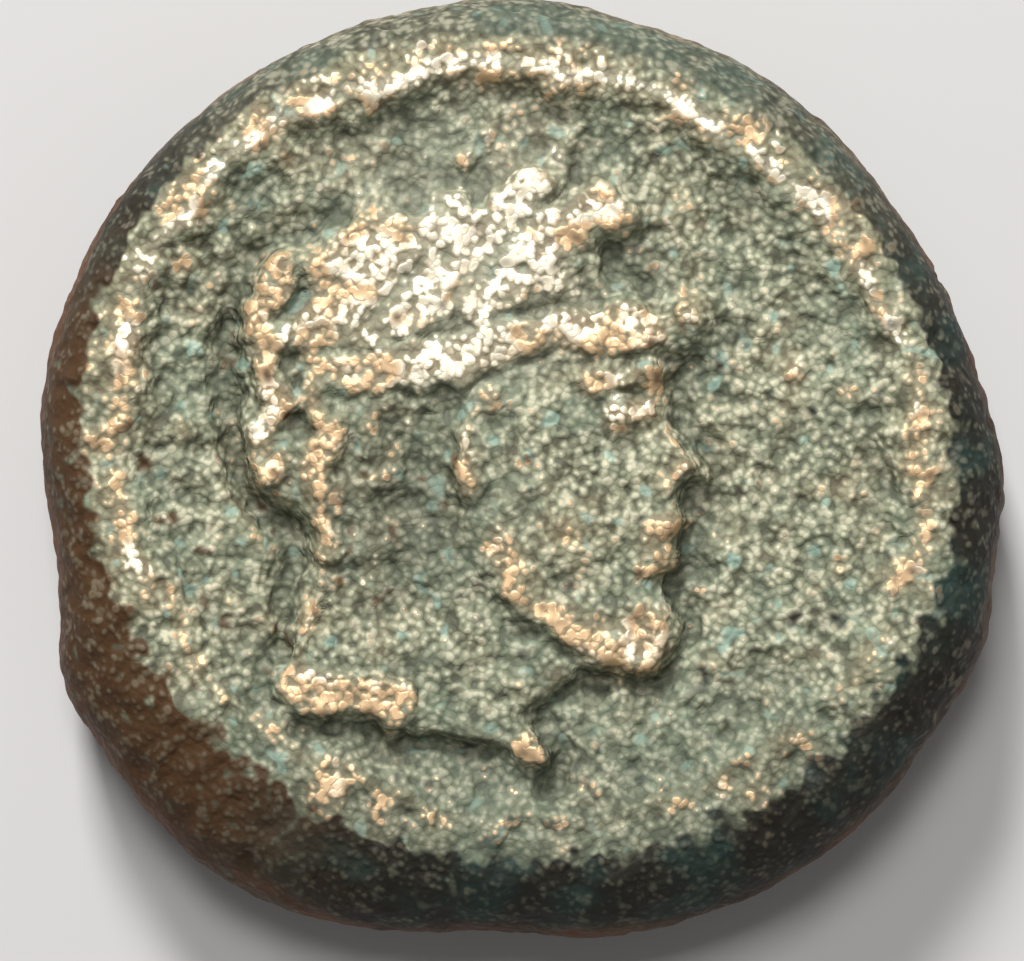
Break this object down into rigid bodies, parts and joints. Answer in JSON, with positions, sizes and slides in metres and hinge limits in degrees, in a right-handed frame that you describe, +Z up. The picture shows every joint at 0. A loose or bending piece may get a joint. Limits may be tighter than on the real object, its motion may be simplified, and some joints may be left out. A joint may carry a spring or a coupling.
{
  "type": "ancient bronze coin",
  "caption": "Thick worn bronze coin with a bevelled edge, a right-facing head in a raised border and a sunk reverse with a branch.",
  "frame": {"origin": "on the resting plane, under the middle of the flan's box", "axes": "+Z up through the thickness, from the reverse to the head's side; +Y towards the head's crown; +X the way the head looks"},
  "size_m": [0.019, 0.0186, 0.0044],
  "materials": {
    "bronze": "corroded green and brown patina over worn bare bronze"
  },
  "bodies": {
    "root": {"coin": "bronze"}
  },
  "joints": []
}
